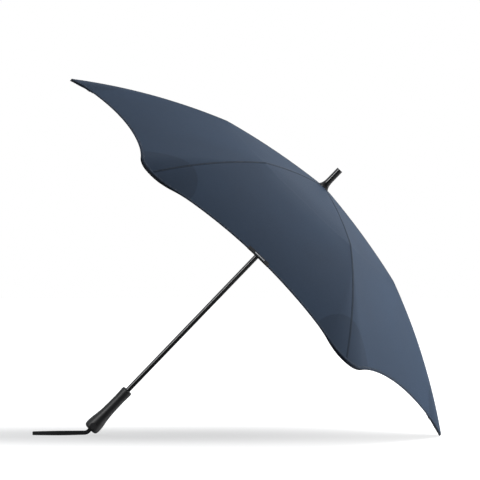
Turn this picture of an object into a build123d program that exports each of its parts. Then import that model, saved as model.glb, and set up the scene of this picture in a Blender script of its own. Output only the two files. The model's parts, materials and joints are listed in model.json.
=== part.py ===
from build123d import *
import math
import os

os.makedirs("parts", exist_ok=True)

# A stick umbrella, standing open. +Z runs along the shaft towards the ferrule, the origin is
# the middle of the handle's lower end, and the first rib lies over +X. Millimetres.

# ---- driving dimensions ------------------------------------------------------------------
rib_count = 6
rib_angle = 360 / rib_count

# the canopy's ridge, seen in one rib's plane: distance from the shaft and height
crown_radius = 14.0
crown_height = 791.0
knee_radius = 270.0
knee_drop = 45.0
tip_radius = 600.0
tip_drop = 226.0
inner_bow = 5.0
outer_bow = 14.0
cloth_thickness = 0.6

# the canopy's rim, seen from above: round tips joined by hollow scallops
tip_round_radius = 90.0
scallop_middle_radius = 502.0

# shaft, handle and ferrule
shaft_radius = 6.0
shaft_wall = 0.8
shaft_foot = 22.0
handle_length = 128.0
handle_top_radius = 13.2
handle_waist_radius = 12.5
handle_waist_height = 98.0
handle_swell_radius = 14.4
handle_swell_height = 48.0
handle_widest_radius = 18.5
handle_widest_height = 12.9
handle_heel_radius = 12.0
handle_core_radius = 8.5
ferrule_length = 56.0
ferrule_radius = 7.7
ferrule_base_radius = 13.5
ferrule_flare = 33.0

# crown: the slotted ring that holds the ribs
crown_hinge_radius = 12.5
crown_hinge_height = 781.5
crown_ring_radius = 15.0
crown_ring_bottom = 775.5
crown_ring_top = 787.5
wire_radius = 0.6

# runner: the sleeve that slides on the shaft
runner_bottom = 567.3
flange_radius = 32.0
flange_thickness = 3.0
collar_radius = 14.0
collar_height = 6.7
runner_ring_radius = 29.0
runner_ring_height = 9.5
runner_sleeve_radius = 10.5
runner_sleeve_height = 35.5
strut_hinge_radius = 25.0
strut_hinge_height = 582.0
running_clearance = 0.08

# ribs, struts and tip spreaders
rib_width = 3.2
rib_height = 2.6
rod_radius = 1.7
knee_depth = 6.0
rib_depth = 4.0
rod_depth = 4.5
tip_depth = 5.0
rod_end_radius = 588.0
rib_slot_width = 3.6
knee_joint_width = 6.0
strut_pivot_offset = 6.0
strut_width = 3.0
fork_gap = 6.6
fork_wall = 0.8
fork_length = 60.0
spreader_length = 77.0
spreader_pin_radius = 1.2
spreader_pin_side = 7.0
spreader_pin_back = 5.0

# catches that lock the runner open and closed, on the shaft's far side
upper_catch_height = 600.0
lower_catch_height = 252.0
catch_leaf_length = 42.0
catch_nose_reach = 8.6
catch_width = 2.8

# wrist strap
strap_pin_height = 4.0
strap_pin_radius = 1.5
strap_width = 9.0
strap_thickness = 1.5
strap_bend_radius = 14.0
strap_bend_angle = 45.0
strap_length = 122.0


# ---- lines shared by several pieces ------------------------------------------------------
# Every point is (radius, 0, height) in the plane of the rib that lies over +X.
def bowed_middle(start, end, bow):
    """The point half-way along a line, raised by its bow."""
    return (start + end) / 2 + Vector(0, 0, bow)


ridge_start = Vector(crown_radius, 0, crown_height)
ridge_knee = Vector(knee_radius, 0, crown_height - knee_drop)
ridge_tip = Vector(tip_radius, 0, crown_height - tip_drop)
inner_middle = bowed_middle(ridge_start, ridge_knee, inner_bow)
outer_middle = bowed_middle(ridge_knee, ridge_tip, outer_bow)
inner_ridge = ThreePointArc(ridge_start, inner_middle, ridge_knee)
outer_ridge = ThreePointArc(ridge_knee, outer_middle, ridge_tip)

crown_hinge = Vector(crown_hinge_radius, 0, crown_hinge_height)
knee_hinge = ridge_knee - Vector(0, 0, knee_depth)
rod_end_share = (rod_end_radius - knee_radius) / (tip_radius - knee_radius)
rod_end = (outer_ridge @ rod_end_share) - Vector(0, 0, tip_depth)
rib_line = ThreePointArc(crown_hinge, inner_middle - Vector(0, 0, rib_depth), knee_hinge)
rod_line = ThreePointArc(knee_hinge, outer_middle - Vector(0, 0, rod_depth), rod_end)

# the knee's own plane: x along the inner rib, y away from the shaft's side of it
rib_end_direction = rib_line % 1
knee_plane = Plane(origin=knee_hinge, x_dir=rib_end_direction, z_dir=(0, -1, 0))
strut_pivot = knee_plane.from_local_coords(Vector(0, -strut_pivot_offset, 0))
strut_hinge = Vector(strut_hinge_radius, 0, strut_hinge_height)
strut_reach = strut_pivot - strut_hinge
strut_plane = Plane(origin=strut_hinge, x_dir=strut_reach, z_dir=(0, -1, 0))

# the tip's own plane: x along the rod's end, y along the rim, z out of the cloth
rod_end_direction = rod_line % 1
tip_normal = Vector(-rod_end_direction.Z, 0, rod_end_direction.X)
tip_plane = Plane(origin=rod_end, x_dir=rod_end_direction, z_dir=tip_normal)


def outer_circles(builder):
    """The widest round edges of a turned piece."""
    return builder.edges().filter_by(GeomType.CIRCLE).group_by(SortBy.RADIUS)[-1]


def export_around(part, name):
    """Write one copy of a rib's piece at each rib, numbered from 1."""
    for number in range(rib_count):
        copy = part.rotate(Axis.Z, number * rib_angle)
        copy.label = f"{name}_{number + 1}"
        export_step(copy, f"parts/{copy.label}.step")


# ---- canopy ------------------------------------------------------------------------------
# Cloth pulled tight between straight neighbours is six-sided at every height. The corners
# are crisp near the knee and round out towards the tips, where the spreaders hold the cloth.
crisp_corner = 4.0
tip_corner = 150.0
rim_overrun = 8.0
corner_overhang = 1 / math.cos(math.radians(rib_angle / 2)) - 1
inner_shares = (0, 0.5, 1)
outer_shares = (0, 0.35, 0.7, 1)


def six_sided_section(point, corner_radius):
    """A hexagon whose rounded corners pass through a point of the ridge."""
    with BuildSketch(Plane.XY.offset(point.Z)) as section:
        side_radius = point.X + corner_radius * corner_overhang
        RegularPolygon(radius=side_radius, side_count=rib_count)
        fillet(section.vertices(), radius=corner_radius)
    return section.sketch


def corner_at(share):
    """The corner radius at a share of the way from the knee to the tip."""
    return crisp_corner + (tip_corner - crisp_corner) * share**2


inner_sections = [six_sided_section(inner_ridge @ share, crisp_corner) for share in inner_shares]
outer_sections = [six_sided_section(outer_ridge @ share, corner_at(share)) for share in outer_shares]
overrun_point = ridge_tip + (outer_ridge % 1) * rim_overrun
outer_sections.append(six_sided_section(overrun_point, tip_corner))

# The scallop's circle lies outside the rim and touches both neighbouring tip circles.
half_turn = math.radians(rib_angle / 2)
tip_centre_radius = tip_radius - tip_round_radius
scallop_top = (
    tip_round_radius**2
    - scallop_middle_radius**2
    - tip_centre_radius**2
    + 2 * tip_centre_radius * scallop_middle_radius * math.cos(half_turn)
)
scallop_bottom = 2 * (
    scallop_middle_radius - tip_centre_radius * math.cos(half_turn) - tip_round_radius
)
scallop_radius = scallop_top / scallop_bottom
blank_radius = 2 * tip_radius
rim_depth = crown_height - tip_drop - 3 * rim_overrun

with BuildPart() as tent:
    add(inner_sections)
    loft()
    add(outer_sections)
    loft()

with BuildPart() as canopy:
    add(tent.part)
    add(tent.part.moved(Location((0, 0, -cloth_thickness))), mode=Mode.SUBTRACT)
    with BuildSketch(Plane.XY.offset(rim_depth)) as rim:
        Circle(blank_radius)
        with PolarLocations(scallop_middle_radius + scallop_radius, rib_count, rib_angle / 2):
            Circle(scallop_radius, mode=Mode.SUBTRACT)
        corners = rim.vertices().filter_by(lambda v: Vector(v).length < blank_radius - 1)
        fillet(corners, radius=tip_round_radius)
    extrude(amount=crown_height - rim_depth + 1, mode=Mode.INTERSECT)
    with BuildSketch(Plane.XY.offset(crown_height)):
        Circle(shaft_radius)
    extrude(amount=-2 * cloth_thickness, mode=Mode.SUBTRACT)

canopy.part.label = "canopy"
export_step(canopy.part, "parts/canopy.step")

# ---- shaft -------------------------------------------------------------------------------
ferrule_socket_depth = 20.0
shaft_top = crown_height + ferrule_length - ferrule_socket_depth
shaft_inner_radius = shaft_radius - shaft_wall
window_clearance = 0.6
window_width = catch_width + window_clearance
window_height = 11.0
catch_foot_radius = 0.9
foot_hole_radius = 1.3
catch_heights = (upper_catch_height, lower_catch_height)

with BuildPart() as shaft_tube:
    with BuildSketch(Plane.XY.offset(shaft_foot)):
        Circle(shaft_radius)
        Circle(shaft_inner_radius, mode=Mode.SUBTRACT)
    extrude(amount=shaft_top - shaft_foot)
    # a window for each catch's nose, and a hole for its foot
    with BuildSketch(Plane.XZ):
        for height in catch_heights:
            with Locations((0, height)):
                Rectangle(window_width, window_height)
            with Locations((0, height - catch_leaf_length)):
                Circle(foot_hole_radius)
    extrude(amount=-2 * shaft_radius, mode=Mode.SUBTRACT)

shaft_tube.part.label = "shaft_tube"
export_step(shaft_tube.part, "parts/shaft_tube.step")

# ---- catches: a leaf inside the tube, with a nose through the tube's window ----------------
leaf_near = 3.0
leaf_far = 4.2
nose_half_height = 4.0
nose_ramp = 2.6
leaf_tail = 2.0


def build_catch(nose_height, name):
    """A sprung leaf whose foot sits in the tube's small hole and whose nose stands out."""
    foot_height = nose_height - catch_leaf_length
    nose_top = nose_height + nose_half_height
    nose_bottom = nose_height - nose_half_height
    with BuildPart() as catch:
        with BuildSketch(Plane.YZ):
            with BuildLine():
                Polyline(
                    (leaf_near, foot_height - leaf_tail),
                    (leaf_far, foot_height - leaf_tail),
                    (leaf_far, nose_bottom),
                    (catch_nose_reach, nose_top - nose_ramp),
                    (catch_nose_reach, nose_top),
                    (leaf_near, nose_top),
                    close=True,
                )
            make_face()
        extrude(amount=catch_width / 2, both=True)
        with BuildSketch(Plane.XZ.offset(-leaf_near)):
            with Locations((0, foot_height)):
                Circle(catch_foot_radius)
        extrude(amount=leaf_near - shaft_radius)
    catch.part.label = name
    export_step(catch.part, f"parts/{name}.step")


build_catch(upper_catch_height, "upper_catch")
build_catch(lower_catch_height, "lower_catch")

# ---- stop ring: keeps the runner from going past its open place ----------------------------
runner_ring_top = runner_bottom + flange_thickness + collar_height + runner_ring_height
runner_sleeve_top = runner_ring_top + runner_sleeve_height
stop_ring_radius = 9.0
stop_ring_height = 6.0
stop_ring_gap = 0.4
stop_ring_chamfer = 0.8

with BuildPart() as stop_ring:
    with BuildSketch(Plane.XY.offset(runner_sleeve_top + stop_ring_gap)):
        Circle(stop_ring_radius)
        Circle(shaft_radius, mode=Mode.SUBTRACT)
    extrude(amount=stop_ring_height)
    chamfer(outer_circles(stop_ring), length=stop_ring_chamfer)

stop_ring.part.label = "stop_ring"
export_step(stop_ring.part, "parts/stop_ring.step")

# ---- handle ------------------------------------------------------------------------------
cavity_radius = 9.5
cavity_depth = 10.0
core_top = handle_length - 6.0
shaft_fit = 0.3
badge_radius = 8.0
badge_height = 12.4
badge_seat = 16.2
badge_seat_depth = 4.0
badge_thickness = 1.0
badge_edge = 0.5
badge_clearance = 0.1
grip_shoulder = 9.0
grip_top_round = 3.0
heel_tangent = (1, 0.12)
shoulder_tangent = (0.04, 1)
pin_half_length = 13.0
slip_fit = 0.06

with BuildPart() as handle_grip:
    with BuildSketch(Plane.XZ):
        with BuildLine():
            heel = (handle_heel_radius, 0)
            side_top = (handle_top_radius, handle_length - grip_shoulder)
            Spline(
                heel,
                (handle_widest_radius, handle_widest_height),
                (handle_swell_radius, handle_swell_height),
                (handle_waist_radius, handle_waist_height),
                side_top,
                tangents=(heel_tangent, shoulder_tangent),
            )
            Polyline(
                side_top,
                (handle_top_radius, handle_length),
                (shaft_radius + shaft_fit, handle_length),
                (shaft_radius + shaft_fit, core_top),
                (handle_core_radius, core_top),
                (handle_core_radius, cavity_depth),
                (cavity_radius, cavity_depth),
                (cavity_radius, 0),
                heel,
            )
        make_face()
    revolve(axis=Axis.Z)
    top_edges = handle_grip.faces().sort_by(Axis.Z)[-1].edges()
    fillet(top_edges.sort_by(SortBy.RADIUS)[-1], radius=grip_top_round)
    # the hole for the strap's pin and the round seat for the badge, on the near side
    with BuildSketch(Plane.YZ):
        with Locations((0, strap_pin_height)):
            Circle(strap_pin_radius)
    extrude(amount=pin_half_length, both=True, mode=Mode.SUBTRACT)
    with BuildSketch(Plane.XZ.offset(badge_seat)):
        with Locations((0, badge_height)):
            Circle(badge_radius + badge_clearance)
    extrude(amount=badge_seat_depth, mode=Mode.SUBTRACT)

handle_grip.part.label = "handle_grip"
export_step(handle_grip.part, "parts/handle_grip.step")

with BuildPart() as handle_core:
    with BuildSketch(Plane.XY.offset(cavity_depth)):
        Circle(handle_core_radius)
    extrude(amount=core_top - cavity_depth)
    with BuildSketch(Plane.XY.offset(shaft_foot)):
        Circle(shaft_radius)
    extrude(amount=core_top - shaft_foot, mode=Mode.SUBTRACT)

handle_core.part.label = "handle_core"
export_step(handle_core.part, "parts/handle_core.step")

with BuildPart() as handle_badge:
    with BuildSketch(Plane.XZ.offset(badge_seat)):
        with Locations((0, badge_height)):
            Circle(badge_radius)
    extrude(amount=badge_thickness)
    fillet(handle_badge.edges().sort_by(Axis.Y)[0], radius=badge_edge)

handle_badge.part.label = "handle_badge"
export_step(handle_badge.part, "parts/handle_badge.step")

# ---- wrist strap: a webbing loop round a pin in the handle's end ---------------------------
strap_pin_clearance = 0.2
strand_gap = 2 * strap_pin_radius + strap_pin_clearance
strand_middle = (strand_gap + strap_thickness) / 2
strand_outside = strand_gap / 2 + strap_thickness
strap_neck_foot = -4.0
loop_half_width = 9.0
loop_end_radius = 5.0
loop_widest_share = 0.55
loop_closing_tangent = (1, -0.3)

with BuildPart() as strap_pin:
    with BuildSketch(Plane.YZ):
        with Locations((0, strap_pin_height)):
            Circle(strap_pin_radius)
    extrude(amount=pin_half_length, both=True)

strap_pin.part.label = "strap_pin"
export_step(strap_pin.part, "parts/strap_pin.step")

bend_centre = Vector(-strap_bend_radius, 0, strap_neck_foot)
bend_axis = Axis(bend_centre, (0, 1, 0))
strap_direction = Vector(-1, 0, -1).normalized()
strap_start = bend_centre + Vector(1, 0, -1).normalized() * strap_bend_radius
loop_plane = Plane(origin=strap_start, x_dir=strap_direction, z_dir=(1, 0, -1))

with BuildPart() as wrist_strap:
    # round the pin and down both sides of it
    with BuildSketch(Plane.YZ):
        with Locations((0, strap_pin_height)):
            Circle(strand_outside)
        with Locations((0, (strap_pin_height + strap_neck_foot) / 2)):
            Rectangle(2 * strand_outside, strap_pin_height - strap_neck_foot)
            Rectangle(strand_gap, strap_pin_height - strap_neck_foot, mode=Mode.SUBTRACT)
        with Locations((0, strap_pin_height)):
            Circle(strand_gap / 2, mode=Mode.SUBTRACT)
    extrude(amount=strap_width / 2, both=True)
    # both strands bend edgewise
    with BuildSketch(Plane.XY.offset(strap_neck_foot)):
        with Locations((0, strand_middle), (0, -strand_middle)):
            Rectangle(strap_width, strap_thickness)
    revolve(axis=bend_axis, revolution_arc=strap_bend_angle)
    # the loop itself, opening out and closing at its end
    with BuildSketch(loop_plane):
        with BuildLine():
            loop_side = Spline(
                (0, strand_middle),
                (loop_widest_share * strap_length, loop_half_width),
                (strap_length - loop_end_radius, loop_end_radius),
                tangents=((1, 0), loop_closing_tangent),
            )
            loop_end = ThreePointArc(
                loop_side @ 1,
                (strap_length, 0),
                (strap_length - loop_end_radius, -loop_end_radius),
            )
            mirror(loop_side, about=Plane.XZ)
        trace(line_width=strap_thickness)
    extrude(amount=strap_width / 2, both=True)

wrist_strap.part.label = "wrist_strap"
export_step(wrist_strap.part, "parts/wrist_strap.step")

# ---- ferrule and crown -------------------------------------------------------------------
ferrule_lip = 1.2
ferrule_edge = 1.4
flare_tangent = (-1, 1)
ferrule_top = crown_height + ferrule_length

with BuildPart() as ferrule:
    with BuildSketch(Plane.XZ):
        with BuildLine():
            flare_start = (ferrule_base_radius, crown_height + ferrule_lip)
            flare_end = (ferrule_radius, crown_height + ferrule_flare)
            Spline(flare_start, flare_end, tangents=(flare_tangent, (0, 1)))
            Polyline(
                flare_end,
                (ferrule_radius, ferrule_top),
                (0, ferrule_top),
                (0, shaft_top),
                (shaft_radius, shaft_top),
                (shaft_radius, crown_height),
                (ferrule_base_radius, crown_height),
                flare_start,
            )
        make_face()
    revolve(axis=Axis.Z)
    fillet(ferrule.faces().sort_by(Axis.Z)[-1].edges(), radius=ferrule_edge)

ferrule.part.label = "ferrule"
export_step(ferrule.part, "parts/ferrule.step")

groove_height = 1.4
groove_clearance = 0.1
slot_cut_height = 40.0
cutter_overrun = 1.0
crown_slot_floor = 9.5
runner_slot_floor = 20.5


def hinge_ring_cutter(hinge_height, hinge_radius, ring_radius, slot_floor, slot_width):
    """The slots that hold hinged ends, and the groove that holds their wire."""
    outside = ring_radius + cutter_overrun
    slot_length = outside - slot_floor
    with BuildPart() as cutter:
        with BuildSketch(Plane.XY.offset(hinge_height - slot_cut_height / 2)):
            with PolarLocations(slot_floor + slot_length / 2, rib_count):
                Rectangle(slot_length, slot_width)
        extrude(amount=slot_cut_height)
        with BuildSketch(Plane.XY.offset(hinge_height - groove_height / 2)):
            Circle(outside)
            Circle(hinge_radius - wire_radius - groove_clearance, mode=Mode.SUBTRACT)
        extrude(amount=groove_height)
    return cutter.part


crown_cutter = hinge_ring_cutter(
    crown_hinge_height, crown_hinge_radius, crown_ring_radius, crown_slot_floor, rib_slot_width
)

with BuildPart() as crown_notch:
    with BuildSketch(Plane.XY.offset(crown_ring_bottom)):
        Circle(crown_ring_radius)
        Circle(shaft_radius, mode=Mode.SUBTRACT)
    extrude(amount=crown_ring_top - crown_ring_bottom)
    add(crown_cutter, mode=Mode.SUBTRACT)

crown_notch.part.label = "crown_notch"
export_step(crown_notch.part, "parts/crown_notch.step")

with BuildPart() as crown_hinge_wire:
    with BuildSketch(Plane.XZ):
        with Locations((crown_hinge_radius, crown_hinge_height)):
            Circle(wire_radius)
    revolve(axis=Axis.Z)

crown_hinge_wire.part.label = "crown_hinge_wire"
export_step(crown_hinge_wire.part, "parts/crown_hinge_wire.step")

crown_washer_radius = 11.5

with BuildPart() as crown_washer:
    with BuildSketch(Plane.XY.offset(crown_ring_top)):
        Circle(crown_washer_radius)
        Circle(shaft_radius, mode=Mode.SUBTRACT)
    extrude(amount=crown_height - cloth_thickness - crown_ring_top)

crown_washer.part.label = "crown_washer"
export_step(crown_washer.part, "parts/crown_washer.step")

# ---- runner ------------------------------------------------------------------------------
runner_bore = shaft_radius + running_clearance
collar_bottom = runner_bottom + flange_thickness
runner_ring_bottom = collar_bottom + collar_height
keyway_depth_clearance = 0.5
keyway_side_clearance = 0.2
keyway_reach = catch_nose_reach + keyway_depth_clearance
keyway_width = window_width + keyway_side_clearance
runner_edge = 1.2
strut_slot_clearance = 0.4
strut_slot_width = strut_width + strut_slot_clearance

# the groove along the bore that the catches' noses pass through
with BuildPart() as keyway:
    with BuildSketch(Plane.XY.offset(runner_bottom)):
        with Locations((0, keyway_reach / 2)):
            Rectangle(keyway_width, keyway_reach)
    extrude(amount=runner_sleeve_top - runner_bottom)

with BuildPart() as runner_flange:
    with BuildSketch(Plane.XY.offset(runner_bottom)):
        Circle(flange_radius)
        Circle(runner_bore, mode=Mode.SUBTRACT)
    extrude(amount=flange_thickness)
    fillet(outer_circles(runner_flange), radius=runner_edge)
    add(keyway.part, mode=Mode.SUBTRACT)

runner_flange.part.label = "runner_flange"
export_step(runner_flange.part, "parts/runner_flange.step")

with BuildPart() as runner_collar:
    with BuildSketch(Plane.XY.offset(collar_bottom)):
        Circle(collar_radius)
        Circle(runner_bore, mode=Mode.SUBTRACT)
    extrude(amount=collar_height)
    add(keyway.part, mode=Mode.SUBTRACT)

runner_collar.part.label = "runner_collar"
export_step(runner_collar.part, "parts/runner_collar.step")

runner_cutter = hinge_ring_cutter(
    strut_hinge_height, strut_hinge_radius, runner_ring_radius, runner_slot_floor, strut_slot_width
)

with BuildPart() as runner_body:
    with BuildSketch(Plane.XY.offset(runner_ring_bottom)):
        Circle(runner_ring_radius)
    extrude(amount=runner_ring_height)
    with BuildSketch(Plane.XY.offset(runner_ring_top)):
        Circle(runner_sleeve_radius)
    extrude(amount=runner_sleeve_height)
    fillet(runner_body.edges().sort_by(Axis.Z)[-1], radius=runner_edge)
    with BuildSketch(Plane.XY.offset(runner_ring_bottom)):
        Circle(runner_bore)
    extrude(amount=runner_sleeve_top - runner_ring_bottom, mode=Mode.SUBTRACT)
    add(runner_cutter, mode=Mode.SUBTRACT)
    add(keyway.part, mode=Mode.SUBTRACT)

runner_body.part.label = "runner_body"
export_step(runner_body.part, "parts/runner_body.step")

with BuildPart() as runner_hinge_wire:
    with BuildSketch(Plane.XZ):
        with Locations((strut_hinge_radius, strut_hinge_height)):
            Circle(wire_radius)
    revolve(axis=Axis.Z)

runner_hinge_wire.part.label = "runner_hinge_wire"
export_step(runner_hinge_wire.part, "parts/runner_hinge_wire.step")

# ---- one rib's pieces, over +X -------------------------------------------------------------
eye_radius = 2.2
wire_eye_radius = 0.72
knee_pin_radius = 1.0
knee_slot_half_width = 1.85
rod_eye_half_width = 1.75
rib_end_gap = 5.0
groove_width = 2.0
rib_trim = 1 - rib_end_gap / rib_line.length
channel_start = 0.05
channel_end = 0.92
channel_drop = 0.7
knee_pin_boss = 3.2
knee_tail = 15.0
knee_tail_radius = 2.6
strut_boss = 2.8
knee_slot_left = -3.1
knee_slot_floor = -3.3
knee_cut = 20.0
rib_pocket_gap = 0.4
rib_pocket_play = 0.3
rivet_radius = 2.0
rivet_stand = 0.15
rod_start = 0.02
rod_fitting_end = 0.04
rod_eye_radius = 2.6
rod_fitting_radius = 2.3

with BuildPart() as rib_inner:
    # a folded steel channel, open underneath, with an eye for the crown's wire
    with BuildSketch(Plane.XZ):
        trace(Plane.XZ.to_local_coords(rib_line.trim(0, rib_trim)), line_width=rib_height)
        with Locations((crown_hinge.X, crown_hinge.Z)):
            Circle(eye_radius)
    extrude(amount=rib_width / 2, both=True)
    with BuildSketch(Plane.XZ):
        hollow_line = rib_line.trim(channel_start, channel_end).moved(Location((0, 0, -channel_drop)))
        trace(Plane.XZ.to_local_coords(hollow_line), line_width=rib_height)
    extrude(amount=groove_width / 2, both=True, mode=Mode.SUBTRACT)
    with BuildSketch(Plane.XZ):
        with Locations((crown_hinge.X, crown_hinge.Z)):
            Circle(wire_eye_radius)
    extrude(amount=rib_width, both=True, mode=Mode.SUBTRACT)

export_around(rib_inner.part, "rib_inner")

with BuildPart() as rib_joint:
    # the knee: a bracket that grips the inner rib, carries the outer rib's pin and the
    # strut's rivet bosses
    with BuildSketch(knee_plane):
        Circle(knee_pin_boss)
        with Locations((-knee_tail, 0)):
            Circle(knee_tail_radius)
        with Locations((0, -strut_pivot_offset)):
            Circle(strut_boss)
        make_hull()
    extrude(amount=knee_joint_width / 2, both=True)
    # the slot the outer rib turns in, and the pocket the inner rib sits in
    with BuildSketch(knee_plane):
        with Locations((knee_slot_left, knee_slot_floor)):
            Rectangle(knee_cut, knee_cut, align=(Align.MIN, Align.MIN))
    extrude(amount=knee_slot_half_width, both=True, mode=Mode.SUBTRACT)
    with BuildSketch(knee_plane):
        with Locations((rib_pocket_gap - rib_end_gap, 0)):
            Rectangle(knee_cut, rib_height + rib_pocket_play, align=(Align.MAX, Align.CENTER))
    extrude(amount=rib_width / 2 + slip_fit, both=True, mode=Mode.SUBTRACT)
    with BuildSketch(knee_plane):
        Circle(knee_pin_radius)
    extrude(amount=knee_joint_width / 2, both=True)
    with BuildSketch(knee_plane):
        with Locations((0, -strut_pivot_offset)):
            Circle(rivet_radius)
    extrude(amount=knee_joint_width / 2 + rivet_stand, both=True)

export_around(rib_joint.part, "rib_joint")

with BuildPart() as rib_outer:
    # a round springy rod in a flat end fitting
    with BuildSketch(Plane(origin=rod_line @ rod_start, z_dir=rod_line % rod_start)):
        Circle(rod_radius)
    sweep(path=rod_line.trim(rod_start, 1))
    with BuildSketch(Plane.XZ):
        with Locations((knee_hinge.X, knee_hinge.Z)):
            Circle(rod_eye_radius)
        fitting_end = rod_line @ rod_fitting_end
        with Locations((fitting_end.X, fitting_end.Z)):
            Circle(rod_fitting_radius)
        make_hull()
    extrude(amount=rod_eye_half_width, both=True)
    with BuildSketch(Plane.XZ):
        with Locations((knee_hinge.X, knee_hinge.Z)):
            Circle(knee_pin_radius + slip_fit)
    extrude(amount=rod_eye_half_width, both=True, mode=Mode.SUBTRACT)

export_around(rib_outer.part, "rib_outer")

strut_length = strut_reach.length
fork_start = strut_length - fork_length
fork_root_length = 7.0
strut_height = 3.4
ear_height = 4.8
trough_start = 8.0
trough_height = 2.2
trough_ends = 20.0

with BuildPart() as strut:
    # a channel from the runner's wire, ending in a long fork that straddles the knee
    with BuildSketch(strut_plane):
        Circle(eye_radius)
        Rectangle(fork_start, strut_height, align=(Align.MIN, Align.CENTER))
    extrude(amount=strut_width / 2, both=True)
    with BuildSketch(strut_plane):
        with Locations((trough_start, -strut_height / 2)):
            Rectangle(fork_start - trough_ends, trough_height, align=(Align.MIN, Align.MIN))
    extrude(amount=groove_width / 2, both=True, mode=Mode.SUBTRACT)
    with BuildSketch(strut_plane):
        Circle(wire_eye_radius)
    extrude(amount=strut_width, both=True, mode=Mode.SUBTRACT)
    with BuildSketch(strut_plane):
        with Locations((fork_start - fork_root_length, 0)):
            Rectangle(
                fork_length + fork_root_length, ear_height, align=(Align.MIN, Align.CENTER)
            )
        with Locations((strut_length, 0)):
            Circle(ear_height / 2)
    extrude(amount=fork_gap / 2 + fork_wall, both=True)
    with BuildSketch(strut_plane):
        with Locations((fork_start, 0)):
            Rectangle(2 * fork_length, 2 * ear_height, align=(Align.MIN, Align.CENTER))
    extrude(amount=fork_gap / 2, both=True, mode=Mode.SUBTRACT)

export_around(strut.part, "strut")

# ---- tip: a base on the rod's end and two arms that spread the cloth's round corner ---------
base_floor = -5.0
base_plate_top = -3.0
pin_foot = -3.6
pin_top = 1.8
boss_half_width = 3.0
boss_top = 2.6
socket_depth = 14.0
socket_fit = 0.1
base_length = 18.0
base_width = 22.0
base_corner = 4.0
base_middle = -4.0
spreader_thickness = 2.4
spreader_eye_radius = 2.8
spreader_end_radius = 1.8
spreader_reach = Vector(-39.0, 68.0, 6.0).normalized()


def spreader_plane(side):
    """The plane one arm turns in: x along the arm, z along its pin. side is 1 or -1."""
    hinge = tip_plane.from_local_coords(Vector(-spreader_pin_back, side * spreader_pin_side, 0))
    reach = Vector(spreader_reach.X, side * spreader_reach.Y, spreader_reach.Z)
    folded = -rod_end_direction
    pin_direction = reach.cross(folded) * side
    return Plane(origin=hinge, x_dir=reach, z_dir=pin_direction)


with BuildPart() as tip_base:
    with BuildSketch(tip_plane.offset(base_floor)):
        with Locations((base_middle, 0)):
            RectangleRounded(base_length, base_width, radius=base_corner)
    extrude(amount=base_plate_top - base_floor)
    with BuildSketch(tip_plane.offset(base_floor)):
        with Locations((base_middle, 0)):
            Rectangle(base_length, 2 * boss_half_width)
    extrude(amount=boss_top - base_floor)
    for side in (1, -1):
        pin_plane = spreader_plane(side)
        with BuildSketch(pin_plane.offset(pin_foot)):
            Circle(spreader_pin_radius)
        extrude(amount=pin_top - pin_foot)
    with BuildSketch(Plane(origin=rod_end, z_dir=rod_end_direction)):
        Circle(rod_radius + socket_fit)
    extrude(amount=-socket_depth, mode=Mode.SUBTRACT)

export_around(tip_base.part, "tip_base")

for side, side_name in ((1, "left"), (-1, "right")):
    arm_plane = spreader_plane(side)
    with BuildPart() as spreader:
        with BuildSketch(arm_plane.offset(-spreader_thickness / 2)):
            Circle(spreader_eye_radius)
            with Locations((spreader_length, 0)):
                Circle(spreader_end_radius)
            make_hull()
            Circle(spreader_pin_radius + slip_fit, mode=Mode.SUBTRACT)
        extrude(amount=spreader_thickness)
    export_around(spreader.part, f"spreader_{side_name}")
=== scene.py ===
import json
import math

import bmesh
import bpy
import numpy as np
from mathutils import Matrix, Vector


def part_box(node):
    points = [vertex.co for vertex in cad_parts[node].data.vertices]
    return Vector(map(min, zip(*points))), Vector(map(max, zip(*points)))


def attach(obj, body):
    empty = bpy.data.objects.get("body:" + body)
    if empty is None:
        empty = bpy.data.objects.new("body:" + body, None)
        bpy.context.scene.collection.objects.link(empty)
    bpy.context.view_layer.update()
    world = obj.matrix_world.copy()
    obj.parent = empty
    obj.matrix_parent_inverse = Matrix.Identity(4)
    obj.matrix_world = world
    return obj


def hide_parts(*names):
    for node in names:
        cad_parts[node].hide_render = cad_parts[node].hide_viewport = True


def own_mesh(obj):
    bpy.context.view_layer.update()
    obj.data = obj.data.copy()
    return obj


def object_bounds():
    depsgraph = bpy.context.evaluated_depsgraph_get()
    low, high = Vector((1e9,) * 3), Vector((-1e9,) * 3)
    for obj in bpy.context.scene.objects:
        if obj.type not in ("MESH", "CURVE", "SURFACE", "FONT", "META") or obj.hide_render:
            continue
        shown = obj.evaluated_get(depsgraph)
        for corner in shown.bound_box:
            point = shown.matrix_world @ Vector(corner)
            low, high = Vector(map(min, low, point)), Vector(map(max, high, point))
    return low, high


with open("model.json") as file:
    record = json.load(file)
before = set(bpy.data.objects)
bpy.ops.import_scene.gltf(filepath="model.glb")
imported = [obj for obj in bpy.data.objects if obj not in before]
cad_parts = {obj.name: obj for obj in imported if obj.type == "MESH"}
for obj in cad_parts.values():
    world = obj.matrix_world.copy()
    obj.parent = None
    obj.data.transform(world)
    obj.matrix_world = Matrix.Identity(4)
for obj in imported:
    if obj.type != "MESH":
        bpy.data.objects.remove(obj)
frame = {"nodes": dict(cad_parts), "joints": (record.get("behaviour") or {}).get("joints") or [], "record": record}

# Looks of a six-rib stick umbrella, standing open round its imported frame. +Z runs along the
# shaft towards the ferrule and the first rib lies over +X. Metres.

CAD_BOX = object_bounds()
MM = 0.001

# ---- places taken from the frame ----
JOINTS = {joint["name"]: joint for joint in frame["joints"]}
RIB_COUNT = sum(name.startswith("rib_hinge_") for name in JOINTS)
HALF_PANEL = math.pi / RIB_COUNT
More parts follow.
